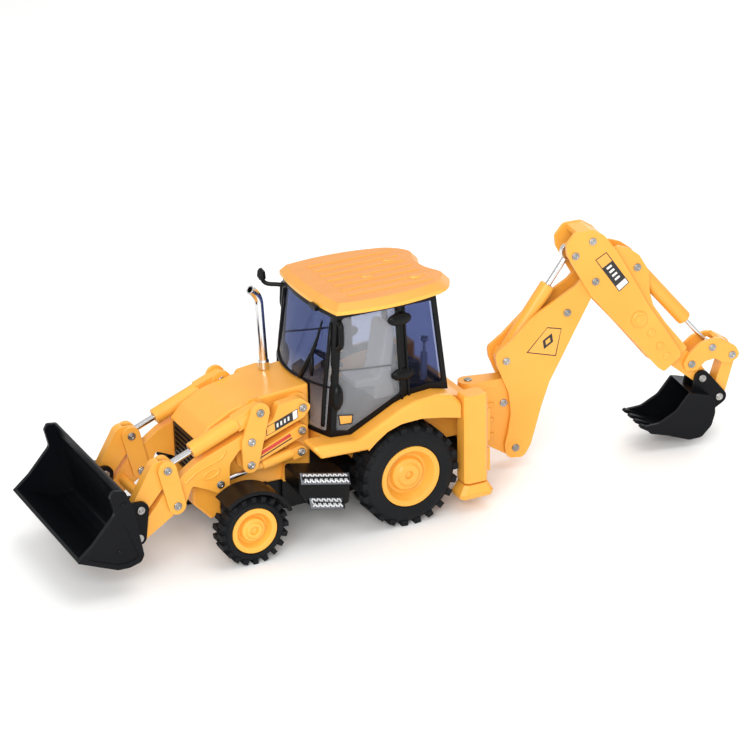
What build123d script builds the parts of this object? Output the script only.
from build123d import *
import os
from math import atan2, cos, degrees, radians, sin

# Toy backhoe loader, about 1:35 of a site machine. Millimetres, +X forward, +Y to the machine's left,
# +Z up. The origin is on the ground, midway between the rear wheels.

# ---------------------------------------------------------------- driving dimensions
WHEELBASE = 62.0
REAR_TYRE_RADIUS = 19.2
REAR_TYRE_WIDTH = 12.6
REAR_RIM_RADIUS = 10.7
FRONT_TYRE_RADIUS = 12.9
FRONT_TYRE_WIDTH = 9.0
FRONT_RIM_RADIUS = 7.6
REAR_TRACK_FACE = 31.0  # outer face of a rear tyre, from the centre line
FRONT_TRACK_FACE = 32.0
AXLE_RADIUS = 1.5

PIN_RADIUS = 0.9  # every riveted pin
HEAD_RADIUS = 1.5  # its peened head
HEAD_HEIGHT = 0.5
RUN_FIT = 0.06  # radial clearance of a pin in a part that turns on it
SIDE_GAP = 0.2  # between plates that slide past each other

HOOD_HALF = 12.3
LOADER_LINE = 16.5  # the plane of each loader arm, from the centre line
ARM_HALF = 1.9  # half the arm's thickness
FORK_IN = 2.1  # inner face of the levers and cranks, from the loader line
FORK_OUT = 3.4  # their outer face
EYE_HALF = 0.85  # half the thickness of a ram rod's eye
RAM_RADIUS = 2.9
RAM_BORE = 1.8
ROD_RADIUS = 1.15

# Loader pins in side view, (x, z)
ARM_PIVOT = (36.4, 49.5)
LINK_PIVOT = (36.9, 40.8)
LIFT_PIVOT = (37.4, 32.7)
LEVER_TOP = (53.3, 51.6)
LEVER_MID = (57.0, 41.3)
LEVER_LOW = (57.5, 32.6)
LIFT_EYE = (68.8, 27.1)
CRANK_PIVOT = (85.8, 23.4)
CRANK_TOP = (88.9, 37.5)
BUCKET_LINK_PIN = (99.5, 25.0)
BUCKET_PIVOT = (100.5, 14.5)
CROSS_TUBE = (92.3, 20.6)

# Backhoe: slew axis, and pins in its own side view, (distance behind the slew axis, z)
SLEW_X = -40.0
SLEW_REST = -9.0  # degrees, the arm stands a little to the machine's left
BOOM_PIVOT = (17.2, 8.8)
BOOM_RAM_BASE = (12.9, 27.2)
BOOM_RAM_EYE = (37.4, 60.5)
DIPPER_RAM_BASE = (13.4, 44.5)
DIPPER_PIVOT = (47.9, 71.9)
DIPPER_RAM_EYE = (39.8, 82.9)
DIPPER_HEAD_RIVET = (46.5, 87.8)
BUCKET_RAM_BASE = (65.3, 74.6)
TIPPING_PIVOT = (88.7, 32.2)
BUCKET_RAM_EYE = (97.1, 37.9)
TIPPING_END = (105.5, 33.7)
HOE_PIVOT = (93.4, 25.7)
HOE_LINK_PIN = (100.7, 17.0)
KING_HALF = 3.2
BOOM_IN = 3.4
BOOM_OUT = 4.8
DIPPER_IN = 5.0
DIPPER_OUT = 6.2
NOSE_HALF = 3.0
HOE_HALF = 9.5

# Cab corners in side view
CAB_FLOOR = 36.0
CAB_TOP = 83.5
CAB_WAIST = 57.0
PILLAR_A = (28.3, 23.8)  # x at the floor and at the roof
PILLAR_B = (-2.3, -0.5)
PILLAR_C = (-20.3, -15.0)
SCREEN_X = (33.6, 33.2, 26.4)  # middle of the windscreen at floor, waist and roof
CAB_HALF = (23.2, 22.0)
GLASS_WALL = 0.9
FRAME_WALL = 1.1

slew = radians(SLEW_REST)
hoe_dir = Vector(-cos(slew), -sin(slew), 0)
hoe_normal = Vector(-sin(slew), cos(slew), 0)


# ---------------------------------------------------------------- helpers
def side(y):
    """A side-view plane at y: its sketch has x forward and y up, and extrudes towards lower y."""
    return Plane.XZ.offset(-y)


def hoe(n):
    """The backhoe's side-view plane, n to its left: x runs back along the arm, y up."""
    origin = Vector(SLEW_X, 0, 0) + hoe_normal * n
    return Plane(origin=origin, x_dir=hoe_dir, z_dir=hoe_normal)


def hull(plane, ends):
    """The tangent outline round a set of circles, each (x, y, radius)."""
    with BuildSketch(plane) as outline:
        with BuildLine():
            for x, y, radius in ends:
                CenterArc((x, y), radius, 0, 360)
        make_hull()
    return outline.sketch


def fitted(points, radii):
    """The corner radii, one for all or a list, each kept small enough for the edges beside it."""
    result = []
    count = len(points)
    wanted = radii if isinstance(radii, list) else [radii] * count
    for index in range(count):
        here = Vector(*points[index])
        before = Vector(*points[index - 1]) - here
        after = Vector(*points[(index + 1) % count]) - here
        half_corner = radians(before.get_angle(after)) / 2
        room = 0.47 * min(before.length, after.length) * abs(sin(half_corner) / max(cos(half_corner), 0.001))
        result.append(min(wanted[index], room))
    return result


def outline(plane, points, radii):
    """A closed polygon with rounded corners."""
    with BuildSketch(plane) as shape:
        with BuildLine():
            FilletPolyline(*points, radius=fitted(points, radii), close=True)
        make_face()
    return shape.sketch


def discs(plane, centres, radius):
    """Equal circles on a plane, for bores and bosses."""
    with BuildSketch(plane) as dots:
        with Locations(*centres):
            Circle(radius)
    return dots.sketch


def soften(edges, radius):
    """Round the edges, with a smaller radius where the full one doesn't fit."""
    for share in (1.0, 0.7, 0.4):
        try:
            fillet(edges, radius * share)
            return
        except ValueError:
            continue


def rivet(plane, centre, length, far_head=True, dome=0.3):
    """A pin whose domed head lies on the plane, with a second head at the far end where it has one.

    It runs down from a level plane, and to the machine's right from an upright one.
    """
    run = 1 if plane.z_dir.Y < -0.5 else -1
    heads = [(plane, -run), (plane.offset(run * length), run)]
    with BuildPart() as pin:
        extrude(discs(plane, [centre], PIN_RADIUS), amount=run * length)
        for head_plane, out in heads if far_head else heads[:1]:
            extrude(discs(head_plane, [centre], HEAD_RADIUS), amount=out * HEAD_HEIGHT)
            rims = pin.edges().filter_by(GeomType.CIRCLE).sort_by(Axis(plane.origin, plane.z_dir * out))
            fillet(rims[-1], dome)
    return pin.part


def ram_frame(base, eye, make_plane):
    """A plane whose z runs along a ram from its base pin to its eye."""
    angle = degrees(atan2(eye[1] - base[1], eye[0] - base[0]))
    side_plane = make_plane(0)
    origin = side_plane.from_local_coords(Vector(base[0], base[1], 0))
    along = side_plane.from_local_coords(Vector(base[0] + cos(radians(angle)),
                                                base[1] + sin(radians(angle)), 0)) - origin
    return Plane(origin=origin, x_dir=side_plane.z_dir, z_dir=along)


def ram_length(base, eye):
    return ((eye[0] - base[0]) ** 2 + (eye[1] - base[1]) ** 2) ** 0.5


def ram_cylinder(plane, length, radius, bore, eye_radius, eye_half, neck):
    """A ram's tube: a flat eye at the base, a round barrel, an open bore and a gland ring."""
    with BuildPart() as tube:
        with BuildSketch(plane.offset(neck)):
            Circle(radius)
        extrude(amount=length - neck)
        fillet(tube.edges().filter_by(GeomType.CIRCLE), 0.5)
        with BuildSketch(Plane(origin=plane.origin - plane.x_dir * eye_half, x_dir=plane.z_dir,
                               z_dir=plane.x_dir)):
            Circle(eye_radius)
            with Locations((neck / 2 + 0.4, 0)):
                Rectangle(neck + 0.8, 2 * eye_radius)
        extrude(amount=2 * eye_half)
        with BuildSketch(plane.offset(eye_radius + 1.2)):
            Circle(bore)
        extrude(amount=length, mode=Mode.SUBTRACT)
        with BuildSketch(Plane(origin=plane.origin - plane.x_dir * radius, x_dir=plane.z_dir,
                               z_dir=plane.x_dir)):
            Circle(PIN_RADIUS + RUN_FIT)
        extrude(amount=2 * radius, mode=Mode.SUBTRACT)
    return tube.part


def ram_rod(plane, start, length, radius, eye_radius, eye_hole, eye_half):
    """A ram's rod with a flat eye at its end, length from the base pin to the eye's centre."""
    with BuildPart() as rod:
        with BuildSketch(plane.offset(start)):
            Circle(radius)
        extrude(amount=length - start - eye_hole)
        with BuildSketch(Plane(origin=plane.origin + plane.z_dir * length - plane.x_dir * eye_half,
                               x_dir=plane.z_dir, z_dir=plane.x_dir)):
            Circle(eye_radius)
        extrude(amount=2 * eye_half)
        with BuildSketch(Plane(origin=plane.origin + plane.z_dir * length - plane.x_dir * 2 * radius,
                               x_dir=plane.z_dir, z_dir=plane.x_dir)):
            Circle(eye_hole)
        extrude(amount=4 * radius, mode=Mode.SUBTRACT)
    return rod.part


os.makedirs("parts", exist_ok=True)


def finish(label, part):
    """Name a piece and write it to its own file."""
    part.label = label
    export_step(part, f"parts/{label}.step")


# ---------------------------------------------------------------- chassis
BASE_BOTTOM = 9.0
BODY_BOTTOM = 24.2
BODY_HALF = 29.5
WELL_IN = 16.2  # the body's width between the rear wheels, halved
HOOD_REAR = 31.0
HOOD_WALL = 1.3
NOSE_FRONT = 76.8

with BuildPart() as chassis_base:
    with BuildSketch(side(11)):
        with BuildLine():
            Polyline((-29.8, BASE_BOTTOM), (65.5, BASE_BOTTOM), (65.5, 19.8), (-29.8, 19.8), close=True)
        make_face()
    extrude(amount=22)
    with Locations((0, 0, 18)):
        Box(12, 31, 12)
    with Locations((59, 0, 14.4)):
        Box(13, 30, 10.8)
    with Locations((37, 0, 14.4)):
        Box(11, 24.6, 10.8)
    extrude(discs(side(20), [(0, REAR_TYRE_RADIUS)], AXLE_RADIUS + RUN_FIT), amount=40, mode=Mode.SUBTRACT)
    extrude(discs(side(20), [(WHEELBASE, FRONT_TYRE_RADIUS)], AXLE_RADIUS + RUN_FIT), amount=40,
            mode=Mode.SUBTRACT)
    with BuildSketch(Plane.XY.offset(BASE_BOTTOM)):
        with Locations((-20, -7), (-20, 7), (46, -7), (46, 7)):
            Circle(1.6)
    extrude(amount=1.0, mode=Mode.SUBTRACT)
finish("chassis_base", chassis_base.part)

with BuildPart() as base_screws:
    with BuildSketch(Plane.XY.offset(BASE_BOTTOM + 0.2)):
        with Locations((-20, -7), (-20, 7), (46, -7), (46, 7)):
            Circle(1.5)
    extrude(amount=0.8)
    with BuildSketch(Plane.XY.offset(BASE_BOTTOM + 0.2)):
        with Locations((-20, -7), (-20, 7), (46, -7), (46, 7)):
            Rectangle(2.2, 0.4)
            Rectangle(0.4, 2.2)
    extrude(amount=0.4, mode=Mode.SUBTRACT)
finish("base_screws", base_screws.part)

with BuildPart() as hood:
    extrude(outline(side(HOOD_HALF),
                    [(HOOD_REAR, 20.3), (HOOD_REAR, 55.3), (50, 53.9), (62, 51.2), (70, 47.0), (74.6, 42.0),
                     (72.6, 41.2), (72.6, 25.2), (NOSE_FRONT, 24.6), (NOSE_FRONT, 18.4), (70.2, 11.3),
                     (66.2, 12.4), (66.2, 20.3)],
                    [0, 0.6, 6, 8, 5, 0.5, 0.3, 0.3, 1, 1, 1, 0.3, 0.3]), amount=2 * HOOD_HALF)
    top_edges = hood.edges().filter_by(lambda e: e.center().Z > 42.5 and abs(abs(e.center().Y) - HOOD_HALF)
                                       < 0.01 and e.center().X > HOOD_REAR + 1)
    soften(top_edges, 2.4)
    inner = HOOD_HALF - HOOD_WALL
    extrude(outline(side(inner),
                    [(HOOD_REAR + HOOD_WALL, 19), (HOOD_REAR + HOOD_WALL, 52.6), (50, 51.3), (61.5, 48.6),
                     (69, 44.8), (71.2, 41.4), (71.2, 26.5), (67.4, 26.5), (67.4, 19)],
                    [0, 0.5, 4, 5, 3, 0, 0, 0, 0]), amount=2 * inner, mode=Mode.SUBTRACT)
    with BuildSketch(Plane.XY.offset(50)):
        with Locations((38.6, -8.9)):
            Circle(1.25)
    extrude(amount=8, mode=Mode.SUBTRACT)
finish("hood", hood.part)

with BuildPart() as front_grille:
    with Locations((73.1, 0, 33.2)):
        Box(1.0, 22.4, 15.2)
    with BuildSketch(Plane.YZ.offset(73.6)):
        with GridLocations(0, 2.0, 1, 7):
            with Locations((0, 33.2)):
                Rectangle(19.5, 1.1)
    extrude(amount=-0.5, mode=Mode.SUBTRACT)
finish("front_grille", front_grille.part)

# The body's top line in side view, on which the cab stands, and the line of the wheel arch
BODY_TOP = [(38.4, 38.3), (33.5, 38.3), (20.0, 37.3), (12.0, 41.2), (3.0, 45.6), (-3.0, 47.6), (-12.0, 48.2),
            (-18.0, 46.8)]
ARCH_LINE = [(16.2, 32.6), (13.0, 35.4), (8.6, 38.4), (3.0, 40.2), (-5.0, 40.5), (-14.0, 39.0), (-23.4, 36.8)]

with BuildPart() as rear_body:
    body_points = [(34.4, 33.2), *BODY_TOP, (-21.5, 43.0), (-29.6, 39.0), (-29.6, BODY_BOTTOM),
                   (16.2, BODY_BOTTOM), (16.2, 32.6)]
    extrude(outline(side(BODY_HALF), body_points, [1.5, 1, 3, 2.5, 6, 8, 8, 6, 3, 2, 1, 0, 0, 0]),
            amount=2 * BODY_HALF)
    upper = rear_body.edges().filter_by(lambda e: abs(abs(e.center().Y) - BODY_HALF) < 0.01
                                        and e.center().Z > 38 and e.center().X < 18)
    soften(upper, 1.6)
    well_points = [*ARCH_LINE, (-31, 36.8), (-31, 20), (18, 20), (18, 32.6)]
    well = outline(side(BODY_HALF + 1), well_points, [0, 4, 5, 8, 8, 8, 0, 0, 0, 0, 0])
    extrude(well, amount=BODY_HALF + 1 - WELL_IN, mode=Mode.SUBTRACT)
    far_well = outline(side(-WELL_IN), well_points, [0, 4, 5, 8, 8, 8, 0, 0, 0, 0, 0])
    extrude(far_well, amount=BODY_HALF + 1 - WELL_IN, mode=Mode.SUBTRACT)
    with Locations((40, 0, 36)):
        Box(19, 41.4, 10, mode=Mode.SUBTRACT)
    with Locations((-27.0, 25.0, 41), (-27.0, -25.0, 41)):
        Box(12, 11, 20, mode=Mode.SUBTRACT)
    with Locations((6.0, 0, 48)):
        Box(44, 38, 20, mode=Mode.SUBTRACT)
finish("rear_body", rear_body.part)


# ---------------------------------------------------------------- cab
def cab_section(z, rear_x, pillar_x, screen_x, half, inset):
    """The cab's plan outline at a height: straight sides and rear, a bowed windscreen."""
    with BuildSketch(Plane.XY.offset(z)) as section:
        with BuildLine():
            Line((pillar_x, half - inset), (rear_x + inset, half - inset))
            Line((rear_x + inset, half - inset), (rear_x + inset, inset - half))
            Line((rear_x + inset, inset - half), (pillar_x, inset - half))
            ThreePointArc((pillar_x, inset - half), (screen_x - inset, 0), (pillar_x, half - inset))
        make_face()
    return section.sketch


def cab_volume(inset):
    """The solid inside the cab's skin, inset from its outside."""
    waist_share = (CAB_WAIST - CAB_FLOOR) / (CAB_TOP - CAB_FLOOR)
    levels = ((CAB_FLOOR, 0.0, SCREEN_X[0]), (CAB_WAIST, waist_share, SCREEN_X[1]),
              (CAB_TOP, 1.0, SCREEN_X[2]))
    with BuildPart() as volume:
        for z, share, screen_x in levels:
            add(cab_section(z, PILLAR_C[0] + share * (PILLAR_C[1] - PILLAR_C[0]),
                            PILLAR_A[0] + share * (PILLAR_A[1] - PILLAR_A[0]), screen_x,
                            CAB_HALF[0] + share * (CAB_HALF[1] - CAB_HALF[0]), inset))
        loft(ruled=True)
    return volume.part


def pillar_x(pillar, z):
    return pillar[0] + (pillar[1] - pillar[0]) * (z - CAB_FLOOR) / (CAB_TOP - CAB_FLOOR)


def below_body(gap):
    """Everything under the body's top line, and the hood, which the cab's skin must clear."""
    with BuildPart() as under:
        points = [(50, 38.3 + gap)] + [(x, z + gap) for x, z in BODY_TOP] + [(-40, 43 + gap), (-40, 20),
                                                                             (50, 20)]
        extrude(outline(side(40), points, 0), amount=80)
        with BuildSketch(side(HOOD_HALF + gap)):
            with Locations((40, 37.8 + gap)):
                Rectangle(20, 35.6)
        extrude(amount=2 * (HOOD_HALF + gap))
    return under.part


with BuildPart() as cab_glass:
    add(cab_volume(FRAME_WALL + 0.08))
    add(cab_volume(FRAME_WALL + GLASS_WALL), mode=Mode.SUBTRACT)
    add(below_body(0.1), mode=Mode.SUBTRACT)
    split(bisect_by=Plane.XY.offset(CAB_TOP - 0.1), keep=Keep.BOTTOM)
finish("cab_glass", cab_glass.part)

HEADER = 81.6  # top of the windows

with BuildPart() as cab_frame:
    add(cab_volume(0))
    add(cab_volume(FRAME_WALL), mode=Mode.SUBTRACT)
    add(below_body(0.1), mode=Mode.SUBTRACT)
    split(bisect_by=Plane.XY.offset(CAB_TOP - 0.1), keep=Keep.BOTTOM)
    door = [(pillar_x(PILLAR_A, HEADER) - 2.0, HEADER), (pillar_x(PILLAR_A, 40.5) - 2.0, 40.0), (21.0, 38.8),
            (12.4, 42.8), (3.3, 47.2), (pillar_x(PILLAR_B, 48.5) + 1.6, 48.8),
            (pillar_x(PILLAR_B, HEADER) + 1.6, HEADER)]
    quarter = [(pillar_x(PILLAR_B, HEADER) - 1.6, HEADER), (pillar_x(PILLAR_B, 49.5) - 1.6, 49.6),
               (-12.0, 50.6), (pillar_x(PILLAR_C, 49.5) + 1.8, 49.8),
               (pillar_x(PILLAR_C, HEADER) + 1.8, HEADER)]
    extrude(outline(side(30), door, 1.2), amount=60, mode=Mode.SUBTRACT)
    extrude(outline(side(30), quarter, 1.2), amount=60, mode=Mode.SUBTRACT)
    low_side = [(pillar_x(PILLAR_A, 55.0) + 0.4, 56.0), (45, 56.0), (45, 39.6),
                (pillar_x(PILLAR_A, 39.6) + 0.6, 39.6)]
    extrude(outline(side(30), low_side, [0.6, 0, 0, 0.6]), amount=60, mode=Mode.SUBTRACT)
    with BuildSketch(Plane.YZ.offset(26.0)):
        with BuildLine():
            Polyline((-20.9, HEADER), (20.9, HEADER), (21.4, 56.4), (-21.4, 56.4), close=True)
        make_face()
        fillet(vertices(), 1.5)
    extrude(amount=20, mode=Mode.SUBTRACT)
    upper_side = [(pillar_x(PILLAR_A, HEADER) + 0.5, HEADER), (pillar_x(PILLAR_A, 56.4) + 0.4, 56.4),
                  (45, 56.4), (45, HEADER)]
    extrude(outline(side(30), upper_side, 0), amount=60, mode=Mode.SUBTRACT)
    with BuildSketch(Plane.YZ.offset(-10.0)):
        with BuildLine():
            Polyline((-20.2, HEADER), (20.2, HEADER), (21.2, 49.0), (-21.2, 49.0), close=True)
        make_face()
        fillet(vertices(), 1.5)
    extrude(amount=-20, mode=Mode.SUBTRACT)
finish("cab_frame", cab_frame.part)

ROOF_BOTTOM = 83.5
ROOF_HEIGHT = 3.8
ROOF_PADS = ((2.5, 3.2), (-11.5, -7.5), (-12.3, 11.8))
with BuildPart() as roof:
    with BuildSketch(Plane.XY.offset(ROOF_BOTTOM)):
        with BuildLine():
            ThreePointArc((24.6, 23.4), (5.0, 25.6), (-15.0, 22.8))
            Spline((-15.0, 22.8), (-21.8, 18.8), (-25.0, 12.3), (-22.6, 5.0), (-22.0, 0), (-22.6, -5.0),
                   (-25.0, -12.3), (-21.8, -18.8), (-15.0, -22.8))
            ThreePointArc((-15.0, -22.8), (5.0, -25.6), (24.6, -23.4))
            ThreePointArc((24.6, -23.4), (27.0, 0), (24.6, 23.4))
        make_face()
    extrude(amount=ROOF_HEIGHT)
    chamfer(roof.faces().sort_by(Axis.Z)[-1].edges(), length=2.4, length2=2.2)
    with BuildSketch(Plane.XY.offset(ROOF_BOTTOM + ROOF_HEIGHT - 0.2)):
        with GridLocations(0, 5.4, 1, 7):
            SlotOverall(34, 1.8)
    extrude(amount=0.5)
    with BuildSketch(Plane.XY.offset(ROOF_BOTTOM + ROOF_HEIGHT - 0.2)):
        with Locations(*ROOF_PADS):
            Ellipse(2.4, 1.7)
    extrude(amount=0.8, taper=20)
finish("roof", roof.part)

with BuildPart() as cab_interior:
    with Locations((6.0, 0, 39.0)):
        Box(43.6, 37.6, 1.8)
    with BuildSketch(side(8)):
        with BuildLine():
            Polyline((20.5, 39.9), (27.2, 39.9), (28.0, 54.5), (24.2, 56.0), (20.5, 50), close=True)
        make_face()
    extrude(amount=16)
    with Locations((-12.0, 0, 43.0)):
        Box(7.0, 37.0, 6.4)
    with Locations((-12.0, 9.0, 50.0), (-12.0, -9.0, 50.0)):
        Box(4.0, 3.0, 8.0)
    with Locations((21.0, 0, 51.0)):
        Cylinder(0.8, 12.0, rotation=(0, -35, 0))
    wheel_plane = Plane(origin=(17.0, 0, 57.6), x_dir=(0, 1, 0), z_dir=(-0.55, 0, 0.84))
    with BuildSketch(Plane(origin=wheel_plane.from_local_coords(Vector(5.2, 0, 0)), x_dir=wheel_plane.x_dir,
                           z_dir=wheel_plane.y_dir)):
        Circle(0.7)
    revolve(axis=Axis(wheel_plane.origin, wheel_plane.z_dir))
    with BuildSketch(wheel_plane.offset(-0.4)):
        Circle(1.3)
        Rectangle(10.2, 1.1)
    extrude(amount=0.8)
finish("cab_interior", cab_interior.part)

with BuildPart() as seat:
    with BuildSketch(side(6)):
        with BuildLine():
            FilletPolyline((-7.0, 40.0), (1.5, 40.0), (1.5, 45.0), (9.5, 46.0), (9.5, 49.2), (0.0, 48.6),
                           (-3.2, 67.5),
                           (-7.0, 67.5), (-5.2, 48.0), radius=[0.8, 0.8, 0.8, 1, 1.3, 1.6, 1.6, 1.4, 2],
                           close=True)
        make_face()
    extrude(amount=12)
    soften(seat.edges().filter_by(lambda e: abs(abs(e.center().Y) - 6) < 0.01), 1.1)
finish("seat", seat.part)

STACK = (38.6, -8.9)
with BuildPart() as exhaust_stack:
    with BuildSketch(Plane.XY.offset(52.8)):
        with Locations(STACK):
            Circle(1.2)
    extrude(amount=3.0)
    with BuildSketch(Plane.XY.offset(54.95)):
        with Locations(STACK):
            Circle(2.0)
    extrude(amount=3.5)
    soften(exhaust_stack.edges().filter_by(GeomType.CIRCLE).group_by(Axis.Z)[-1], 0.7)
    with BuildLine() as stack_path:
        Line((STACK[0], STACK[1], 58.0), (STACK[0] + 1.0, STACK[1], 80.0))
        Spline((STACK[0] + 1.0, STACK[1], 80.0), (STACK[0] + 2.2, STACK[1] + 0.2, 83.6),
               (STACK[0] + 4.6, STACK[1] + 0.8, 86.2), tangents=((0.045, 0, 1), (1, 0.25, 0.75)))
    with BuildSketch(Plane(origin=(STACK[0], STACK[1], 58.0), z_dir=(1.0, 0, 22.0))):
        Circle(1.65)
        Circle(1.15, mode=Mode.SUBTRACT)
    sweep(path=stack_path.wires()[0])
finish("exhaust_stack", exhaust_stack.part)

TANK_OUT = 28.4
with BuildPart() as side_tanks:
    extrude(outline(side(TANK_OUT), [(23.6, 24.4), (43.2, 28.6), (43.2, 22.2), (39.5, 16.8), (24.2, 13.4),
                                     (23.6, 20)],
                    [1.2, 1.2, 1.5, 1.5, 1.2, 1]), amount=TANK_OUT - 16.4)
    with BuildSketch(side(TANK_OUT + 1.6)):
        with BuildLine():
            Polyline((24.4, 24.6), (42.6, 28.6), (42.6, 26.2), (24.4, 22.2), close=True)
        make_face()
    extrude(amount=6)
    with BuildSketch(side(TANK_OUT + 1.6)):
        with BuildLine():
            Polyline((26.4, 15.2), (38.8, 18.2), (38.8, 15.6), (26.4, 12.6), close=True)
        make_face()
    extrude(amount=6)
    mirror(about=Plane.XZ)
finish("side_tanks", side_tanks.part)

GUARD_GAP = 1.1
with BuildPart() as front_mudguards:
    axle_centre = (WHEELBASE, FRONT_TYRE_RADIUS)
    inner_radius = FRONT_TYRE_RADIUS + GUARD_GAP
    with BuildSketch(side(FRONT_TRACK_FACE)):
        with BuildLine():
            CenterArc(axle_centre, inner_radius + 1.3, 48, 112)
            CenterArc(axle_centre, inner_radius, 48, 112)
            for angle in (48, 160):
                Line((axle_centre[0] + inner_radius * cos(radians(angle)),
                      axle_centre[1] + inner_radius * sin(radians(angle))),
                     (axle_centre[0] + (inner_radius + 1.3) * cos(radians(angle)),
                      axle_centre[1] + (inner_radius + 1.3) * sin(radians(angle))))
        make_face()
    extrude(amount=FRONT_TRACK_FACE - 21.2)
    with Locations((54.6, 21.8, 19.6)):
        Box(3.8, 1.2, 12.6)
    with Locations((54.6, 18.8, 14.6)):
        Box(3.8, 7.2, 2.2)
    mirror(about=Plane.XZ)
finish("front_mudguards", front_mudguards.part)

TOWER_IN = 12.5
TOWER_OUT = 14.2
with BuildPart() as loader_towers:
    extrude(outline(side(TOWER_OUT), [(32.6, 20.4), (32.6, 53.2), (39.2, 53.2), (41.8, 46.0), (41.8, 29.0),
                                      (43.0, 20.4)],
                    [0.5, 3.2, 3.2, 2, 2, 0.5]), amount=TOWER_OUT - TOWER_IN)
    extrude(discs(side(20), [ARM_PIVOT, LINK_PIVOT, LIFT_PIVOT], PIN_RADIUS), amount=10, mode=Mode.SUBTRACT)
    mirror(about=Plane.XZ)
finish("loader_towers", loader_towers.part)

with BuildPart() as tower_rivets:
    for pin in (ARM_PIVOT, LINK_PIVOT, LIFT_PIVOT):
        add(rivet(side(LOADER_LINE + FORK_IN), pin, LOADER_LINE + FORK_IN - TOWER_IN, far_head=False))
    mirror(about=Plane.XZ)
finish("tower_rivets", tower_rivets.part)


# ---------------------------------------------------------------- wheels
def wheel_at(x, z, y):
    """A plane across a wheel's axle, its z towards the wheel's outside."""
    return Plane(origin=(x, y, z), x_dir=(1, 0, 0), z_dir=(0, 1 if y > 0 else -1, 0))


def turned(plane, points, radii):
    """A body of revolution round the plane's z, from (radius, height) points."""
    half = Plane(origin=plane.origin, x_dir=plane.x_dir, z_dir=plane.x_dir.cross(plane.z_dir))
    with BuildPart() as body:
        with BuildSketch(half):
            with BuildLine():
                FilletPolyline(*points, radius=fitted(points, radii), close=True)
            make_face()
        revolve(axis=Axis(plane.origin, plane.z_dir))
    return body.part


def rim(plane, radius, width, dish):
    """A deep-dish rim with a stepped hub: z = 0 is the tyre's outer face."""
    lip = radius + 0.9
    points = [(AXLE_RADIUS, -dish - 1.2), (AXLE_RADIUS, -dish + 2.6), (radius * 0.36, -dish + 2.6),
              (radius * 0.42, -dish + 1.9), (radius * 0.56, -dish + 1.7), (radius * 0.62, -dish),
              (radius * 0.72, -dish), (radius - 1.0, -0.9), (lip, -0.7), (lip, -1.6), (radius - 0.2, -2.0),
              (radius - 0.2, -width + 1.0), (radius - 1.4, -width + 1.0), (radius - 1.6, -dish - 1.2)]
    return turned(plane, points, [0, 0.3, 0.4, 0.3, 0.5, 0.5, 0.8, 0.4, 0.2, 0, 0, 0, 0, 0])


def tyre(plane, radius, bore, width, lugs, lug_height):
    """A tyre with smooth bowed walls and shoulder lugs in two staggered rows."""
    carcass = radius - lug_height
    points = [(bore + 0.0, -width + 1.2), (bore + 0.0, -2.1), (bore + 1.1, -1.5), (bore + 1.2, -0.5),
              (bore + (radius - bore) * 0.5, 0.0), (carcass - 1.2, -0.9), (carcass, -2.6),
              (carcass, -width + 2.6),
              (carcass - 1.2, -width + 0.9), (bore + (radius - bore) * 0.5, -width),
              (bore + 1.2, -width + 0.5)]
    with BuildPart() as body:
        add(turned(plane, points, [0.2, 0.1, 0.2, 0.3, 1.0, 0.7, 0.7, 0.7, 0.7, 1.0, 0.3]))
        step = 360.0 / lugs
        for row, start in ((0, 0.0), (1, 0.5)):
            low = -width / 2 + 0.3 if row == 0 else -width + 0.7
            high = -0.7 if row == 0 else -width / 2 - 0.3
            with BuildSketch(plane.offset(low)):
                with PolarLocations(radius - 1.0, lugs, start_angle=start * step):
                    Rectangle(2.0, radius * step * 0.0078)
            extrude(amount=high - low)
    return body.part


wheel_sets = (("front", WHEELBASE, FRONT_TYRE_RADIUS, FRONT_RIM_RADIUS, FRONT_TYRE_WIDTH, FRONT_TRACK_FACE,
               3.4, 20),
              ("rear", 0.0, REAR_TYRE_RADIUS, REAR_RIM_RADIUS, REAR_TYRE_WIDTH, REAR_TRACK_FACE, 4.6, 22))
for set_name, x, radius, rim_radius, width, face, dish, lugs in wheel_sets:
    with BuildPart() as axle:
        with BuildSketch(side(face - dish + 1.4)):
            with Locations((x, radius)):
                Circle(AXLE_RADIUS)
        extrude(amount=2 * (face - dish + 1.4))
    finish(f"{set_name}_axle", axle.part)
    with BuildPart() as rims:
        add(rim(wheel_at(x, radius, face), rim_radius, width, dish))
        add(rim(wheel_at(x, radius, -face), rim_radius, width, dish))
    finish(f"{set_name}_rims", rims.part)
    for hand, y in (("left", face), ("right", -face)):
        finish(f"{set_name}_{hand}_tyre", tyre(wheel_at(x, radius, y), radius, rim_radius, width, lugs, 0.9))


# ---------------------------------------------------------------- loader
def fork_pair(ends, bores, inner, outer):
    """Two equal plates either side of the loader line, on both sides of the machine."""
    with BuildPart() as plates:
        for near, far in ((LOADER_LINE + outer, LOADER_LINE + inner),
                          (LOADER_LINE - inner, LOADER_LINE - outer)):
            extrude(hull(side(near), ends), amount=near - far)
        for pin, radius in bores:
            extrude(discs(side(LOADER_LINE + outer + 1), [pin], radius), amount=2 * outer + 2,
                    mode=Mode.SUBTRACT)
        mirror(about=Plane.XZ)
    return plates.part


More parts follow.
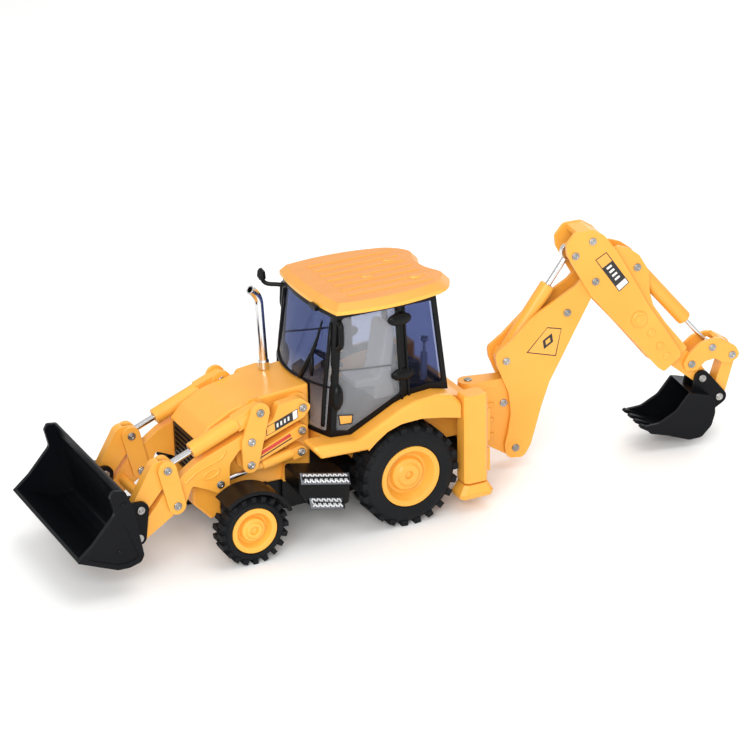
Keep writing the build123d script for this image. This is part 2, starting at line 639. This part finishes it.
with BuildPart() as loader_arms:
    arm_points = [(37.0, 53.4), (45.6, 52.4), (48.0, 46.9), (57.0, 45.0), (67.3, 41.2), (77.4, 37.4),
                  (84.0, 32.9),
                  (90.0, 28.6), (93.5, 24.2), (96.5, 21.0), (101.2, 18.6), (103.2, 15.0), (101.8, 12.2),
                  (97.3, 13.0), (82.2, 22.6), (79.4, 28.9), (73.9, 26.4), (69.0, 23.5), (65.3, 25.4),
                  (65.0, 34.0), (61.0, 38.6), (52.3, 39.8), (36.0, 45.7), (32.6, 49.5)]
    arm_radii = [2.5, 1.5, 2, 6, 8, 8, 8, 4, 4, 3, 2, 2.4, 1.6, 1.5, 1.0, 1.0, 2.0, 2.0, 2.0, 4.0, 3.0, 3.0,
                 2.5, 2.0]
    near = LOADER_LINE + ARM_HALF
    extrude(outline(side(near), arm_points, arm_radii), amount=2 * ARM_HALF)
    extrude(discs(side(near + 1), [ARM_PIVOT, BUCKET_PIVOT], PIN_RADIUS + RUN_FIT), amount=2 * ARM_HALF + 2,
            mode=Mode.SUBTRACT)
    extrude(discs(side(near + 1), [LEVER_MID, CRANK_PIVOT, LIFT_EYE], PIN_RADIUS), amount=2 * ARM_HALF + 2,
            mode=Mode.SUBTRACT)
    with BuildSketch(side(LOADER_LINE + EYE_HALF + SIDE_GAP)):
        with Locations(LIFT_EYE):
            Circle(4.0)
            with Locations((-3, -1)):
                Rectangle(9, 11)
    extrude(amount=2 * (EYE_HALF + SIDE_GAP), mode=Mode.SUBTRACT)
    extrude(discs(side(near), [CROSS_TUBE], 1.5), amount=2 * ARM_HALF, mode=Mode.SUBTRACT)
    mirror(about=Plane.XZ)
finish("loader_arms", loader_arms.part)

with BuildPart() as cross_tube:
    extrude(discs(side(LOADER_LINE + ARM_HALF), [CROSS_TUBE], 1.5), amount=2 * (LOADER_LINE + ARM_HALF))
    extrude(discs(side(LOADER_LINE - ARM_HALF), [CROSS_TUBE], 1.9), amount=2 * (LOADER_LINE - ARM_HALF))
finish("cross_tube", cross_tube.part)

with BuildPart() as arm_rivets:
    for pin in (LEVER_MID, CRANK_PIVOT):
        add(rivet(side(LOADER_LINE + FORK_OUT), pin, 2 * FORK_OUT))
    add(rivet(side(LOADER_LINE + ARM_HALF), LIFT_EYE, 2 * ARM_HALF))
    mirror(about=Plane.XZ)
finish("arm_rivets", arm_rivets.part)

turning = PIN_RADIUS + RUN_FIT
levers = fork_pair([(*LEVER_TOP, 3.6), (*LEVER_MID, 3.6), (*LEVER_LOW, 3.0)],
                   [(LEVER_TOP, PIN_RADIUS), (LEVER_MID, turning), (LEVER_LOW, PIN_RADIUS)], FORK_IN,
                   FORK_OUT)
finish("levers", levers)

with BuildPart() as lever_rivets:
    for pin in (LEVER_TOP, LEVER_LOW):
        add(rivet(side(LOADER_LINE + FORK_OUT), pin, 2 * FORK_OUT))
    mirror(about=Plane.XZ)
finish("lever_rivets", lever_rivets.part)

LINK_HALF = 1.7
with BuildPart() as levelling_links:
    extrude(hull(side(LOADER_LINE + LINK_HALF), [(*LINK_PIVOT, 2.2), (*LEVER_LOW, 1.75)]),
            amount=2 * LINK_HALF)
    extrude(discs(side(LOADER_LINE + 4), [LINK_PIVOT, LEVER_LOW], turning), amount=8, mode=Mode.SUBTRACT)
    mirror(about=Plane.XZ)
finish("levelling_links", levelling_links.part)


def loader_side(n):
    return side(LOADER_LINE + n)


def mirrored(part):
    """A piece and its mirror image on the machine's other side."""
    with BuildPart() as both:
        add(part)
        mirror(about=Plane.XZ)
    return both.part


LIFT_BARREL = 15.0
LIFT_NECK = 18.6
LIFT_ROD = 0.95
lift_frame = ram_frame(LIFT_PIVOT, LIFT_EYE, loader_side)
with BuildPart() as lift_cylinder:
    add(ram_cylinder(lift_frame, LIFT_BARREL, 2.0, LIFT_ROD + 0.1, 2.2, 1.8, 2.6))
    with BuildSketch(lift_frame.offset(LIFT_BARREL)):
        Circle(1.4)
        Circle(LIFT_ROD + 0.1, mode=Mode.SUBTRACT)
    extrude(amount=LIFT_NECK - LIFT_BARREL)
finish("lift_cylinders", mirrored(lift_cylinder.part))
finish("lift_rods", mirrored(ram_rod(lift_frame, 6.2, ram_length(LIFT_PIVOT, LIFT_EYE), LIFT_ROD, 2.9, 2.2,
                                     EYE_HALF)))

CROWD_BARREL = 27.4
SLEEVE_RADIUS = 1.72
crowd_frame = ram_frame(LEVER_TOP, CRANK_TOP, loader_side)
finish("crowd_cylinders", mirrored(ram_cylinder(crowd_frame, CROWD_BARREL, RAM_RADIUS, RAM_BORE, 2.8, 1.95,
                                                8.4)))
with BuildPart() as crowd_sleeve:
    with BuildSketch(crowd_frame.offset(10.8)):
        Circle(SLEEVE_RADIUS)
        Circle(ROD_RADIUS + 0.1, mode=Mode.SUBTRACT)
    extrude(amount=16.4)
finish("crowd_sleeves", mirrored(crowd_sleeve.part))
finish("crowd_rods", mirrored(ram_rod(crowd_frame, 12.4, ram_length(LEVER_TOP, CRANK_TOP), ROD_RADIUS, 2.8,
                                      2.1,
                                      EYE_HALF)))

bell_cranks = fork_pair([(*CRANK_TOP, 3.4), (*CRANK_PIVOT, 3.2)],
                        [(CRANK_TOP, PIN_RADIUS), (CRANK_PIVOT, turning)],
                        FORK_IN, FORK_OUT)
finish("bell_cranks", bell_cranks)

with BuildPart() as crank_rivets:
    add(rivet(side(LOADER_LINE + FORK_OUT), CRANK_TOP, 2 * FORK_OUT))
    mirror(about=Plane.XZ)
finish("crank_rivets", crank_rivets.part)

LINK_SLOT = ROD_RADIUS + 0.15  # half the gap for the crowd rod
with BuildPart() as bucket_links:
    extrude(hull(side(LOADER_LINE + ARM_HALF), [(*CRANK_TOP, 3.4), (91.5, 37.5, 3.6), (*BUCKET_LINK_PIN,
                                                                                       3.1)]),
            amount=2 * ARM_HALF)
    extrude(discs(side(LOADER_LINE + 4), [CRANK_TOP], turning), amount=8, mode=Mode.SUBTRACT)
    extrude(discs(side(LOADER_LINE + 4), [BUCKET_LINK_PIN], 2.2), amount=8, mode=Mode.SUBTRACT)
    with BuildSketch(side(LOADER_LINE + LINK_SLOT)):
        with Locations(CRANK_TOP):
            Circle(4.3)
            with Locations((-5, 2)):
                Rectangle(12, 12)
    extrude(amount=2 * LINK_SLOT, mode=Mode.SUBTRACT)
    mirror(about=Plane.XZ)
finish("bucket_links", bucket_links.part)

BUCKET_HALF = 32.4
BUCKET_WALL = 1.6
with BuildPart() as loader_bucket:
    bucket_points = [(128.2, 17.2), (113.6, 11.1), (109.5, 11.0), (104.9, 12.2), (103.9, 14.8), (107.0, 33.6),
                     (109.6, 40.0), (113.8, 40.6), (115.0, 38.4), (113.6, 31.8), (121.8, 22.6)]
    extrude(outline(side(BUCKET_HALF), bucket_points, [0.4, 3, 3, 3, 2, 4, 1.5, 1.0, 0.8, 2, 1.0]),
            amount=2 * BUCKET_HALF)
    inside_points = [(129.5, 19.2), (113.2, 12.8), (109.8, 12.6), (106.0, 13.4), (105.5, 15.4), (108.6, 33.0),
                     (110.6, 37.2), (111.2, 42.0), (131.0, 42.0)]
    inside_half = BUCKET_HALF - BUCKET_WALL
    extrude(outline(side(inside_half), inside_points, [0, 3, 3, 3, 2, 4, 1, 0, 0]), amount=2 * inside_half,
            mode=Mode.SUBTRACT)
    lug_ends = [(*BUCKET_PIVOT, 2.6), (*BUCKET_LINK_PIN, 3.0), (105.2, 15.0, 1.0), (107.4, 27.5, 1.0)]
    for near, far in ((LOADER_LINE + FORK_OUT, LOADER_LINE + FORK_IN),
                      (LOADER_LINE - FORK_IN, LOADER_LINE - FORK_OUT)):
        for lug in (hull(side(near), lug_ends), hull(side(-far), lug_ends)):
            extrude(lug, amount=near - far)
    extrude(outline(side(inside_half), inside_points, [0, 3, 3, 3, 2, 4, 1, 0, 0]), amount=2 * inside_half,
            mode=Mode.SUBTRACT)
    extrude(discs(side(LOADER_LINE + 5), [BUCKET_PIVOT, BUCKET_LINK_PIN], PIN_RADIUS),
            amount=2 * LOADER_LINE + 10,
            mode=Mode.SUBTRACT)
    with BuildSketch(side(BUCKET_HALF)):
        with BuildLine():
            FilletPolyline((124.5, 17.5), (113.2, 13.0), (109.8, 12.8), (105.6, 14.2), (110.6, 28.6),
                           (120.6, 22.0),
                           radius=[0.6, 1, 1, 1, 1, 1], close=True)
        make_face()
    extrude(amount=0.4, mode=Mode.SUBTRACT)
finish("loader_bucket", loader_bucket.part)

with BuildPart() as bucket_rivets:
    for pin in (BUCKET_PIVOT, BUCKET_LINK_PIN):
        add(rivet(side(LOADER_LINE + FORK_OUT), pin, 2 * FORK_OUT))
    mirror(about=Plane.XZ)
finish("bucket_rivets", bucket_rivets.part)


def hoe_plates(points, radii, inner, outer):
    """Two equal plates of the backhoe, either side of its middle plane."""
    with BuildPart() as plates:
        extrude(outline(hoe(inner), points, radii), amount=outer - inner)
        extrude(outline(hoe(-outer), points, radii), amount=outer - inner)
    return plates.part


def hoe_block(points, radii, half):
    with BuildPart() as block:
        extrude(outline(hoe(-half), points, radii), amount=2 * half)
    return block.part


def hoe_bores(pins, radius):
    with BuildPart() as bores:
        extrude(discs(hoe(-15), pins, radius), amount=30)
    return bores.part


# ---------------------------------------------------------------- backhoe mounting
FRAME_FRONT = -30.2
FRAME_REAR = -33.4
SLEEVE_CENTRE = (-26.3, 28.0)
SLEEVE_SIZE = (9.6, 8.0)
SLEEVE_BORE = (6.4, 5.2)
LEG_GAP = 0.15
LEG_FOOT = 5.6  # height of the foot's underside above the ground

with BuildPart() as rear_frame:
    with Locations(((FRAME_FRONT + FRAME_REAR) / 2, 0, 25.6)):
        Box(FRAME_FRONT - FRAME_REAR, 57.0, 24.4)
    with Locations((FRAME_REAR + 0.6, 0, 24.0)):
        Box(1.2, 57.0, 3.2, mode=Mode.SUBTRACT)
    with Locations((FRAME_REAR + 0.4, 0, 36.6), (FRAME_REAR + 0.4, 0, 14.6)):
        Box(0.8, 52.0, 1.0, mode=Mode.SUBTRACT)
    for y in (SLEEVE_CENTRE[1], -SLEEVE_CENTRE[1]):
        with BuildSketch(Plane.XY.offset(11.6)):
            with Locations((SLEEVE_CENTRE[0], y)):
                Rectangle(*SLEEVE_SIZE)
            chamfer(vertices(), 1.4)
        extrude(amount=34.2)
        with BuildSketch(Plane.XY.offset(11.0)):
            with Locations((SLEEVE_CENTRE[0], y)):
                Rectangle(*SLEEVE_BORE)
        extrude(amount=32.0, mode=Mode.SUBTRACT)
    soften(rear_frame.faces().sort_by(Axis.Z)[-1].edges() + rear_frame.faces().sort_by(Axis.Z)[-2].edges(),
           1.0)
finish("rear_frame", rear_frame.part)

for hand, y in (("left", SLEEVE_CENTRE[1]), ("right", -SLEEVE_CENTRE[1])):
    with BuildPart() as leg:
        with BuildSketch(Plane.XY.offset(LEG_FOOT + 5.2)):
            with Locations((SLEEVE_CENTRE[0], y)):
                Rectangle(SLEEVE_BORE[0] - 2 * LEG_GAP, SLEEVE_BORE[1] - 2 * LEG_GAP)
        extrude(amount=25.0)
        for z, grow in ((LEG_FOOT + 5.2, 0.0), (LEG_FOOT + 1.6, 4.0)):
            with BuildSketch(Plane.XY.offset(z)):
                with Locations((SLEEVE_CENTRE[0], y)):
                    Rectangle(SLEEVE_SIZE[0] + grow, SLEEVE_SIZE[1] + grow * 0.3)
                chamfer(vertices(), 1.4)
        loft()
        with BuildSketch(Plane.XY.offset(LEG_FOOT + 1.6)):
            with Locations((SLEEVE_CENTRE[0], y)):
                Rectangle(SLEEVE_SIZE[0] + 4.4, SLEEVE_SIZE[1] + 1.5)
            chamfer(vertices(), 1.6)
        extrude(amount=-1.6, taper=18)
    finish(f"stabiliser_{hand}", leg.part)

HUB_RADIUS = 3.2
LUG_TOP = (31.0, 33.6)
LUG_LOW = (10.2, 13.0)
with BuildPart() as sideshift_carriage:
    with Locations((-34.2, 0, 23.0)):
        Box(1.2, 19.0, 27.0)
    with Locations((FRAME_REAR + 0.25, 0, 24.0)):
        Box(1.3, 19.0, 2.9)
    for low, high in (LUG_TOP, LUG_LOW):
        with BuildSketch(Plane.XY.offset(low)):
            with BuildLine():
                CenterArc((SLEW_X, 0), 3.0, 0, 360)
                CenterArc((-34.7, 3.2), 1.0, 0, 360)
                CenterArc((-34.7, -3.2), 1.0, 0, 360)
            make_hull()
        extrude(amount=high - low)
    with BuildSketch(Plane.XY.offset(5)):
        with Locations((SLEW_X, 0)):
            Circle(PIN_RADIUS + RUN_FIT)
    extrude(amount=35, mode=Mode.SUBTRACT)
finish("sideshift_carriage", sideshift_carriage.part)

with BuildPart() as kingpost:
    top_plane = Plane(origin=(SLEW_X, 0, 0), x_dir=hoe_dir, z_dir=(0, 0, 1))
    with BuildSketch(top_plane.offset(LUG_LOW[1] + 0.2)):
        Circle(HUB_RADIUS)
    extrude(amount=LUG_TOP[0] - LUG_LOW[1] - 0.4)
    with BuildSketch(top_plane.offset(LUG_TOP[1] + 0.2)):
        with BuildLine():
            CenterArc((0, 0), 3.9, 0, 360)
            CenterArc((11.0, 1.8), 1.4, 0, 360)
            CenterArc((11.0, -1.8), 1.4, 0, 360)
        make_hull()
    extrude(amount=3.2)
    for z in (14.2, 20.4, 26.6):
        with BuildSketch(top_plane.offset(z)):
            with Locations((4.6, 0)):
                RectangleRounded(9.0, 8.0, 1.2)
        extrude(amount=1.5)
    extrude(outline(hoe(-KING_HALF), [(3.6, 14.0), (6.6, 10.6), (14.6, 5.6), (19.5, 5.6), (21.0, 9.8),
                                      (17.6, 20.0),
                                     (16.4, 30.0), (13.4, 37.0), (3.6, 37.0), (3.6, 34.0), (5.2, 33.4),
                                     (5.2, 31.0),
                                     (3.6, 30.6)],
                    [0, 1.5, 2.5, 2.5, 2.5, 6, 4, 1.0, 0, 0, 0.4, 0.4, 0]), amount=2 * KING_HALF)
    with BuildSketch(hoe(-1.8)):
        with BuildLine():
            Polyline((7.4, 34.2), (30, 34.2), (30, 18.4), (7.4, 18.4), close=True)
        make_face()
    extrude(amount=3.6, mode=Mode.SUBTRACT)
    add(hoe_bores([BOOM_PIVOT, BOOM_RAM_BASE], PIN_RADIUS), mode=Mode.SUBTRACT)
    with BuildSketch(top_plane.offset(5)):
        Circle(PIN_RADIUS)
    extrude(amount=40, mode=Mode.SUBTRACT)
    with BuildSketch(top_plane.offset(LUG_LOW[0] - 2)):
        Circle(4.2)
    extrude(amount=LUG_LOW[1] - LUG_LOW[0] + 2.2, mode=Mode.SUBTRACT)
finish("kingpost", kingpost.part)

with BuildPart() as kingpost_rivets:
    add(rivet(hoe(BOOM_OUT + 0.1), BOOM_PIVOT, 2 * BOOM_OUT + 0.2))
    add(rivet(hoe(KING_HALF), BOOM_RAM_BASE, 2 * KING_HALF, dome=0.2))
    slew_plane = Plane(origin=(SLEW_X, 0, LUG_TOP[1] + 3.4), x_dir=(1, 0, 0), z_dir=(0, 0, 1))
    add(rivet(slew_plane, (0, 0), LUG_TOP[1] + 3.5 - LUG_LOW[0]))
finish("kingpost_rivets", kingpost_rivets.part)


# ---------------------------------------------------------------- backhoe arm
with BuildPart() as hoe_boom:
    boom_points = [(13.0, 10.6), (13.6, 5.0), (20.6, 4.4), (23.4, 9.5), (25.4, 16.7), (27.6, 24.8),
                   (30.7, 33.9),
                   (35.1, 42.3), (40.5, 52.9), (47.6, 66.4), (52.0, 70.0), (51.0, 75.6), (45.0, 75.2),
                   (40.6, 70.6),
                   (26.5, 62.1), (22.6, 59.3), (14.9, 52.0), (9.0, 47.6), (9.6, 43.4), (14.4, 31.4),
                   (15.3, 23.0),
                   (14.2, 15.6)]
    boom_radii = [2, 3, 3, 4, 8, 8, 8, 8, 8, 3, 2.4, 2.4, 3, 3, 6, 6, 6, 2.4, 2.0, 5, 8, 4]
    add(hoe_plates(boom_points, boom_radii, BOOM_IN, BOOM_OUT))
    add(hoe_block([(23.6, 16.0), (25.4, 16.7), (27.6, 24.8), (30.7, 33.9), (35.1, 42.3), (40.5, 52.9),
                   (46.4, 64.2),
                   (44.8, 65.0), (39.0, 54.0), (33.6, 43.4), (29.2, 34.8), (26.0, 25.4)],
                  [0, 0, 8, 8, 8, 8, 0, 0, 8, 8, 8, 8], BOOM_OUT - 0.2))
    extrude(discs(hoe(BOOM_OUT - 0.3), [BOOM_PIVOT], 3.2), amount=0.4)
    extrude(discs(hoe(-BOOM_OUT - 0.1), [BOOM_PIVOT], 3.2), amount=0.4)
    add(hoe_bores([BOOM_PIVOT], PIN_RADIUS + RUN_FIT), mode=Mode.SUBTRACT)
    add(hoe_bores([DIPPER_RAM_BASE, BOOM_RAM_EYE], PIN_RADIUS), mode=Mode.SUBTRACT)
    add(hoe_bores([DIPPER_PIVOT], PIN_RADIUS + RUN_FIT), mode=Mode.SUBTRACT)
finish("hoe_boom", hoe_boom.part)

with BuildPart() as boom_rivets:
    for pin in (DIPPER_RAM_BASE, BOOM_RAM_EYE):
        add(rivet(hoe(BOOM_OUT), pin, 2 * BOOM_OUT))
finish("boom_rivets", boom_rivets.part)

boom_ram = ram_frame(BOOM_RAM_BASE, BOOM_RAM_EYE, hoe)
finish("boom_ram_cylinder", ram_cylinder(boom_ram, 27.0, 2.5, 1.4, 2.3, 1.6, 7.6))
finish("boom_ram_rod", ram_rod(boom_ram, 6.0, ram_length(BOOM_RAM_BASE, BOOM_RAM_EYE), 1.1, 3.4, 2.5, 1.3))

dipper_ram = ram_frame(DIPPER_RAM_BASE, DIPPER_RAM_EYE, hoe)
finish("dipper_ram_cylinder", ram_cylinder(dipper_ram, 31.9, RAM_RADIUS, 1.35, 2.9, RAM_RADIUS, 2.0))
finish("dipper_ram_rod", ram_rod(dipper_ram, 15.4, ram_length(DIPPER_RAM_BASE, DIPPER_RAM_EYE), ROD_RADIUS,
                                 3.4,
                                 2.6, 1.2))

with BuildPart() as hoe_dipper:
    dipper_points = [(36.0, 87.6), (36.4, 83.6), (41.0, 75.2), (46.4, 66.0), (60.7, 49.7), (74.0, 33.6),
                     (76.6, 31.6),
                     (83.2, 36.6), (83.4, 38.6), (76.9, 48.8), (69.8, 59.1), (61.4, 74.1), (55.9, 83.4),
                     (51.2, 89.5),
                     (46.5, 92.4), (39.5, 92.0)]
    dipper_radii = [2.0, 2, 6, 2.5, 8, 1.2, 1.0, 1.2, 1.2, 8, 8, 8, 8, 2.5, 3, 2.5]
    add(hoe_plates(dipper_points, dipper_radii, DIPPER_IN, DIPPER_OUT))
    add(hoe_block([(40.6, 91.8), (46.4, 92.2), (51.0, 89.4), (55.7, 83.3), (61.2, 74.0), (69.6, 59.0),
                   (76.7, 48.7),
                   (83.0, 38.6), (76.8, 32.0), (74.2, 33.9), (61.0, 49.9), (58.0, 54.6), (58.6, 62.0),
                   (57.4, 70.6),
                   (54.0, 80.5), (49.6, 87.0), (45.6, 89.6), (40.6, 89.6)],
                  [0.3, 2, 2, 8, 8, 8, 8, 1, 0.8, 0.8, 2, 3, 4, 4, 6, 2, 2, 0.3], DIPPER_IN))
    for low in (3.2, -4.4):
        extrude(outline(hoe(low), [(55.0, 82.6), (57.2, 84.2), (61.6, 82.6), (66.0, 79.4), (70.2, 72.4),
                                   (70.6, 64.4),
                                    (72.2, 58.6), (77.6, 50.6), (86.9, 39.0), (83.0, 36.6), (68.0, 58.0),
                                    (59.0, 74.0)],
                        [1, 1.2, 3, 3, 4, 4, 6, 6, 1, 1, 4, 4]), amount=1.2)
    add(hoe_block([(71.6, 57.0), (74.0, 55.6), (77.6, 50.6), (86.9, 39.0), (83.0, 36.6), (70.0, 55.0)],
                  [0.5, 1, 4, 1, 1, 1], 4.4))
    extrude(hull(hoe(-NOSE_HALF), [(79.5, 38.5, 4.0), (*TIPPING_PIVOT, 3.0), (*HOE_PIVOT, 2.8)]),
            amount=2 * NOSE_HALF)
    extrude(discs(hoe(DIPPER_OUT - 0.15), [(65.9, 54.3)], 3.3), amount=0.5)
    extrude(discs(hoe(DIPPER_OUT + 0.1), [(65.9, 54.3)], 1.9), amount=0.6)
    extrude(discs(hoe(DIPPER_OUT - 0.2), [(71.0, 48.2), (74.7, 42.3), (77.6, 37.9)], 1.4), amount=0.5)
    extrude(discs(hoe(-DIPPER_OUT - 0.35), [(65.9, 54.3)], 3.3), amount=0.5)
    extrude(discs(hoe(-DIPPER_OUT - 0.3), [(71.0, 48.2), (74.7, 42.3), (77.6, 37.9)], 1.4), amount=0.5)
    add(hoe_bores([DIPPER_PIVOT, DIPPER_RAM_EYE, DIPPER_HEAD_RIVET, BUCKET_RAM_BASE, TIPPING_PIVOT,
                   HOE_PIVOT],
                  PIN_RADIUS), mode=Mode.SUBTRACT)
finish("hoe_dipper", hoe_dipper.part)

LUG_HALF = 4.6
with BuildPart() as dipper_rivets:
    for pin in (DIPPER_PIVOT, DIPPER_RAM_EYE, DIPPER_HEAD_RIVET):
        add(rivet(hoe(DIPPER_OUT), pin, 2 * DIPPER_OUT))
    for pin in (TIPPING_PIVOT, HOE_PIVOT):
        add(rivet(hoe(LUG_HALF + 0.05), pin, 2 * LUG_HALF + 0.1))
    add(rivet(hoe(4.4), BUCKET_RAM_BASE, 8.8))
finish("dipper_rivets", dipper_rivets.part)

bucket_ram = ram_frame(BUCKET_RAM_BASE, BUCKET_RAM_EYE, hoe)
finish("bucket_ram_cylinder", ram_cylinder(bucket_ram, 33.1, RAM_RADIUS, 1.1, RAM_RADIUS, RAM_RADIUS, 2.0))
finish("bucket_ram_rod", ram_rod(bucket_ram, 10.8, ram_length(BUCKET_RAM_BASE, BUCKET_RAM_EYE), 0.85, 2.3,
                                 1.5, 1.2))

with BuildPart() as tipping_link:
    tipping_points = [(85.4, 32.6), (87.4, 36.2), (92.4, 40.4), (99.4, 41.6), (107.0, 37.0), (109.0, 33.0),
                      (105.0, 30.3), (101.6, 31.0), (98.6, 33.2), (94.4, 32.6), (91.2, 29.4), (86.6, 29.4)]
    add(hoe_plates(tipping_points, [1.5, 2, 3, 4, 2.5, 2.2, 2.2, 1.5, 1.5, 1.5, 1.5, 1.5], NOSE_HALF + 0.2,
                   LUG_HALF))
    add(hoe_block([(100.4, 41.2), (99.0, 40.4), (102.8, 38.0), (104.2, 38.9)], 0.2, LUG_HALF - 0.2))
    add(hoe_bores([TIPPING_PIVOT], PIN_RADIUS + RUN_FIT), mode=Mode.SUBTRACT)
    add(hoe_bores([BUCKET_RAM_EYE, TIPPING_END], PIN_RADIUS), mode=Mode.SUBTRACT)
finish("tipping_link", tipping_link.part)

with BuildPart() as tipping_rivets:
    for pin in (BUCKET_RAM_EYE, TIPPING_END):
        add(rivet(hoe(LUG_HALF), pin, 2 * LUG_HALF))
finish("tipping_rivets", tipping_rivets.part)

with BuildPart() as hoe_bucket_link:
    extrude(hull(hoe(-NOSE_HALF), [(*TIPPING_END, 2.3), (*HOE_LINK_PIN, 2.7)]), amount=2 * NOSE_HALF)
    add(hoe_bores([TIPPING_END], PIN_RADIUS + RUN_FIT), mode=Mode.SUBTRACT)
    add(hoe_bores([HOE_LINK_PIN], 1.9), mode=Mode.SUBTRACT)
finish("hoe_bucket_link", hoe_bucket_link.part)

with BuildPart() as hoe_bucket:
    shell_points = [(67.4, 11.2), (70.4, 8.0), (77.5, 6.2), (86.6, 3.0), (91.6, 3.4), (95.6, 7.6),
                    (97.0, 12.6),
                    (96.8, 17.2), (94.6, 20.4), (88.6, 22.0), (86.4, 22.4), (81.0, 15.6), (74.2, 11.8)]
    add(hoe_block(shell_points, [0.3, 0.8, 6, 5, 3, 4, 4, 2.5, 2, 1, 0.8, 5, 4], HOE_HALF))
    inside = [(60, 14.0), (70.6, 9.4), (77.8, 7.6), (86.8, 4.4), (90.8, 4.7), (94.3, 8.2), (95.6, 12.8),
              (95.4, 16.6),
              (93.8, 18.9), (88.0, 20.6), (80, 30), (60, 30)]
    inside_radii = [0, 1, 6, 4.5, 2.5, 3.4, 3.4, 2, 1.6, 0.3, 0, 0]
    lug_round = [(*HOE_PIVOT, 3.0), (*HOE_LINK_PIN, 3.0), (90.6, 19.8, 1.2), (96.0, 11.6, 1.0)]
    extrude(hull(hoe(NOSE_HALF + 0.2), lug_round), amount=LUG_HALF - NOSE_HALF - 0.2)
    extrude(hull(hoe(-LUG_HALF), lug_round), amount=LUG_HALF - NOSE_HALF - 0.2)
    add(hoe_block(inside, inside_radii, HOE_HALF - 1.3), mode=Mode.SUBTRACT)
    tooth_pitch = 5.3
    for index in range(4):
        low = (index - 1.5) * tooth_pitch - 1.1
        extrude(outline(hoe(low), [(66.0, 11.0), (72.0, 7.6), (73.4, 9.2), (67.2, 11.8)],
                        [0.3, 0.3, 0.3, 0.3]),
                amount=2.2)
    add(hoe_bores([HOE_PIVOT], PIN_RADIUS + RUN_FIT), mode=Mode.SUBTRACT)
    add(hoe_bores([HOE_LINK_PIN], PIN_RADIUS), mode=Mode.SUBTRACT)
finish("hoe_bucket", hoe_bucket.part)

with BuildPart() as hoe_bucket_rivet:
    add(rivet(hoe(LUG_HALF), HOE_LINK_PIN, 2 * LUG_HALF))
finish("hoe_bucket_rivet", hoe_bucket_rivet.part)
